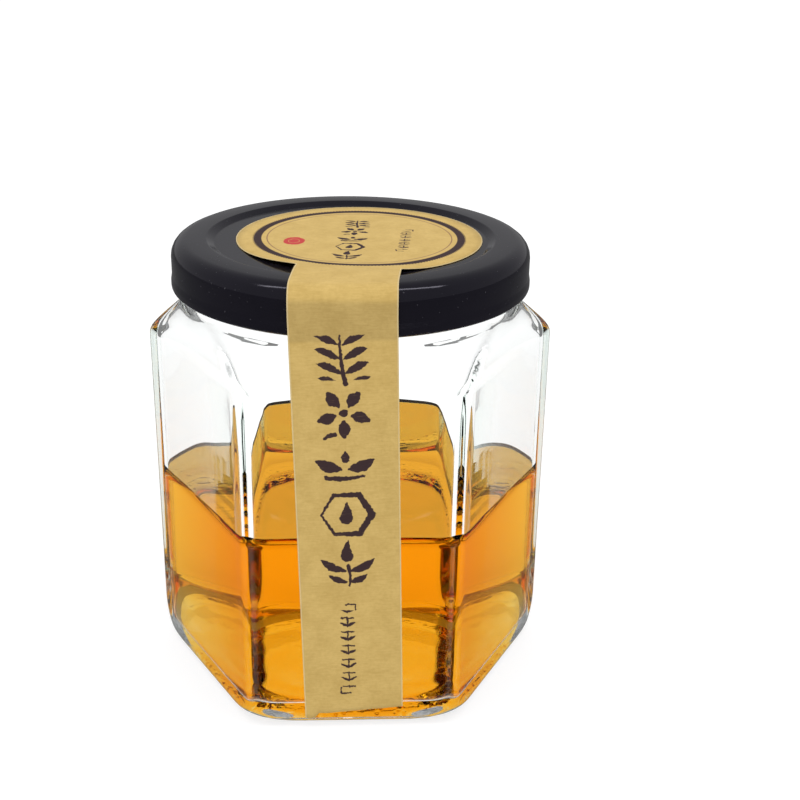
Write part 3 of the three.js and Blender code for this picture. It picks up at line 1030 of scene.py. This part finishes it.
def kraft_paper_material(ground):
    """The printed side: ink with ragged edges and a slightly dry brush."""
    material, bench, shader, label, paper = new_kraft("kraft_paper", ground)
    cloud = bench.add("ShaderNodeTexNoise", {"Vector": label, "Scale": RAGGED["scale"]}).outputs["Color"]
    ragged = bench.vector("SUBTRACT", cloud, (0.5, 0.5, 0.5))
    shift = bench.vector("MULTIPLY", ragged, (RAGGED["reach"], RAGGED["reach"], 0.0))
    ink = bench.group(label_print_group(), Place=bench.vector("ADD", label, shift))["Ink"]

    # A thick ring with fine teeth, and a thin one within it
    parts = bench.add("ShaderNodeSeparateXYZ", {0: label}).outputs
    turn = bench.math("ARCTAN2", parts["X"], parts["Y"])
    teeth = bench.math("SINE", bench.math("MULTIPLY", turn, THICK_RING["teeth"]))
    edge = THICK_RING["tooth_edge"]
    low = THICK_RING["outer"] - THICK_RING["tooth"] / 2
    outer = bench.math("MULTIPLY_ADD", bench.step(teeth, -edge, edge), THICK_RING["tooth"], low)
    reach = bench.vector("LENGTH", label)
    ring = circle_ring(bench, reach, THICK_RING["inner"], outer)
    ink = bench.math("MAXIMUM", ink, ring, clamp=True)
    dry = bench.step(paper["Fibre"], *DRY_BRUSH["range"])
    body = bench.math("MULTIPLY_ADD", dry, DRY_BRUSH["share"], 1 - DRY_BRUSH["share"])
    colour = bench.blend(bench.math("MULTIPLY", ink, body), paper["Colour"], INK_COLOUR)
    thin = circle_ring(bench, reach, *THIN_RING)
    colour = bench.blend(bench.math("MULTIPLY", thin, THIN_RING_STRENGTH), colour, MAROON)

    # A plain red oval with a pale line in it
    size = (1 / RED_SPOT["half_width"], 1 / RED_SPOT["half_height"], 0)
    spot = bench.vector("MULTIPLY", bench.vector("SUBTRACT", label, RED_SPOT["place"]), size)
    rough = bench.math("MULTIPLY", bench.noise(label, RED_EDGE["noise_scale"]), RED_EDGE["rough"])
    rim = bench.math("ADD", bench.vector("LENGTH", spot), rough)
    oval = bench.step(rim, RED_EDGE["outside"], RED_EDGE["inside"])
    from_line = bench.math("ABSOLUTE", bench.math("SUBTRACT", rim, PALE_LINE["reach"]))
    line = bench.step(from_line, *PALE_LINE["edge"])
    red = bench.math("MULTIPLY_ADD", line, PALE_LINE["strength"], RED_STRENGTH)
    colour = bench.blend(bench.math("MULTIPLY", oval, red), colour, RED)

    bench.feed(shader["Base Color"], colour)
    least, pulp = PAPER_ROUGHNESS["printed"], PAPER_ROUGHNESS["pulp"]
    roughness = bench.math("MULTIPLY_ADD", paper["Pulp"], pulp, least)
    bench.feed(shader["Roughness"], bench.math("MULTIPLY_ADD", ink, PAPER_ROUGHNESS["ink"], roughness))
    return material


# Stage

def grey(value):
    return value, value, value, 1


def mirrored_ray(bench):
    """One for a ray that comes from a reflection, and not for one that comes through glass."""
    path = bench.add("ShaderNodeLightPath").outputs
    return bench.math("SUBTRACT", path["Is Glossy Ray"], path["Is Transmission Ray"], clamp=True)


def make_floor():
    """A wide pale floor that glows a little, and looks dark from the lid's gloss."""
    bm = bmesh.new()
    bmesh.ops.create_grid(bm, x_segments=1, y_segments=1, size=FLOOR_HALF)
    mesh = bpy.data.meshes.new("floor")
    bm.to_mesh(mesh)
    bm.free()
    floor = bpy.data.objects.new("floor", mesh)
    bpy.context.scene.collection.objects.link(floor)
    material, bench, shader = new_material(
        "pale_floor", Roughness=1.0, Specular_IOR_Level=0.0, Emission_Color=WHITE
    )
    mirrored = mirrored_ray(bench)
    glow = bench.math("MULTIPLY_ADD", mirrored, FLOOR_IN_GLOSS - FLOOR_GLOW, FLOOR_GLOW)
    bench.feed(shader["Emission Strength"], glow)
    bench.feed(shader["Base Color"], bench.blend(mirrored, grey(FLOOR_SHADE), grey(FLOOR_IN_GLOSS)))
    mesh.materials.append(material)


def make_camera():
    ahead = Vector((
        math.sin(CAMERA_YAW) * math.cos(CAMERA_PITCH),
        math.cos(CAMERA_YAW) * math.cos(CAMERA_PITCH),
        -math.sin(CAMERA_PITCH),
    ))
    right = ahead.cross(Vector((0, 0, 1))).normalized()
    up = right.cross(ahead)
    turned = Matrix((right, up, -ahead)).transposed() @ Matrix.Rotation(CAMERA_ROLL, 3, "Z")
    data = bpy.data.cameras.new("camera")
    data.lens = CAMERA_LENS
    camera = bpy.data.objects.new("camera", data)
    camera.matrix_world = Matrix.Translation(CAMERA_PLACE * MM) @ turned.to_4x4()
    bpy.context.scene.collection.objects.link(camera)
    bpy.context.scene.camera = camera


def make_overhead_light():
    """A long narrow panel above the jar, which draws the soft line along the lid's shoulder."""
    data = bpy.data.lights.new("overhead", "AREA")
    data.shape = "RECTANGLE"
    data.size, data.size_y = OVERHEAD["size"]
    data.energy = OVERHEAD["power"]
    light = bpy.data.objects.new("overhead", data)
    light.location = OVERHEAD["place"]
    aim = Vector(OVERHEAD["aim"]) - Vector(OVERHEAD["place"])
    light.rotation_euler = aim.to_track_quat("-Z", "Y").to_euler()
    bpy.context.scene.collection.objects.link(light)


def make_sky():
    """A pale sky, dimmer in gloss and through empty glass, where its lower part is the darker one."""
    world = bpy.data.worlds.new("studio")
    bpy.context.scene.world = world
    world.use_nodes = True
    bench = Bench(world.node_tree)
    strength = bench.math("MULTIPLY_ADD", mirrored_ray(bench), SKY_IN_GLOSS - SKY, SKY)
    path = bench.add("ShaderNodeLightPath").outputs

    # Light that has crossed more walls than empty glass has came through the liquid
    in_liquid = bench.math("GREATER_THAN", path["Transmission Depth"], WALLS_OF_EMPTY_GLASS)
    direction = bench.add("ShaderNodeTexCoord").outputs["Generated"]
    upward = bench.add("ShaderNodeSeparateXYZ", {0: direction}).outputs["Z"]
    high = bench.step(upward, *LOW_SKY_END)
    in_glass = bench.math("MULTIPLY_ADD", high, HIGH_SKY_IN_GLASS - LOW_SKY_IN_GLASS, LOW_SKY_IN_GLASS)
    behind = bench.add("ShaderNodeMix", {0: in_liquid, 2: in_glass, 3: SKY_THROUGH_LIQUID}).outputs[0]
    change = bench.math("SUBTRACT", behind, SKY)
    strength = bench.math("MULTIPLY_ADD", path["Is Transmission Ray"], change, strength)

    background = world.node_tree.nodes["Background"].inputs
    bench.feed(background["Color"], SKY_COLOUR)
    bench.feed(background["Strength"], strength)
    world.cycles.sampling_method = "NONE"


make_camera()
make_floor()
make_sky()
make_overhead_light()
make_jar(glass_material())
make_liquid(liquid_material())
make_lid(lacquer_material(), lining_material())
kraft_ground = kraft_ground_group()
make_seal(kraft_paper_material(kraft_ground), kraft_back_material(kraft_ground))

scene = bpy.context.scene
scene.view_settings.view_transform = "Standard"
scene.cycles.max_bounces = GLASS_BOUNCES
scene.cycles.transmission_bounces = GLASS_BOUNCES
scene.cycles.glossy_bounces = GLOSS_BOUNCES
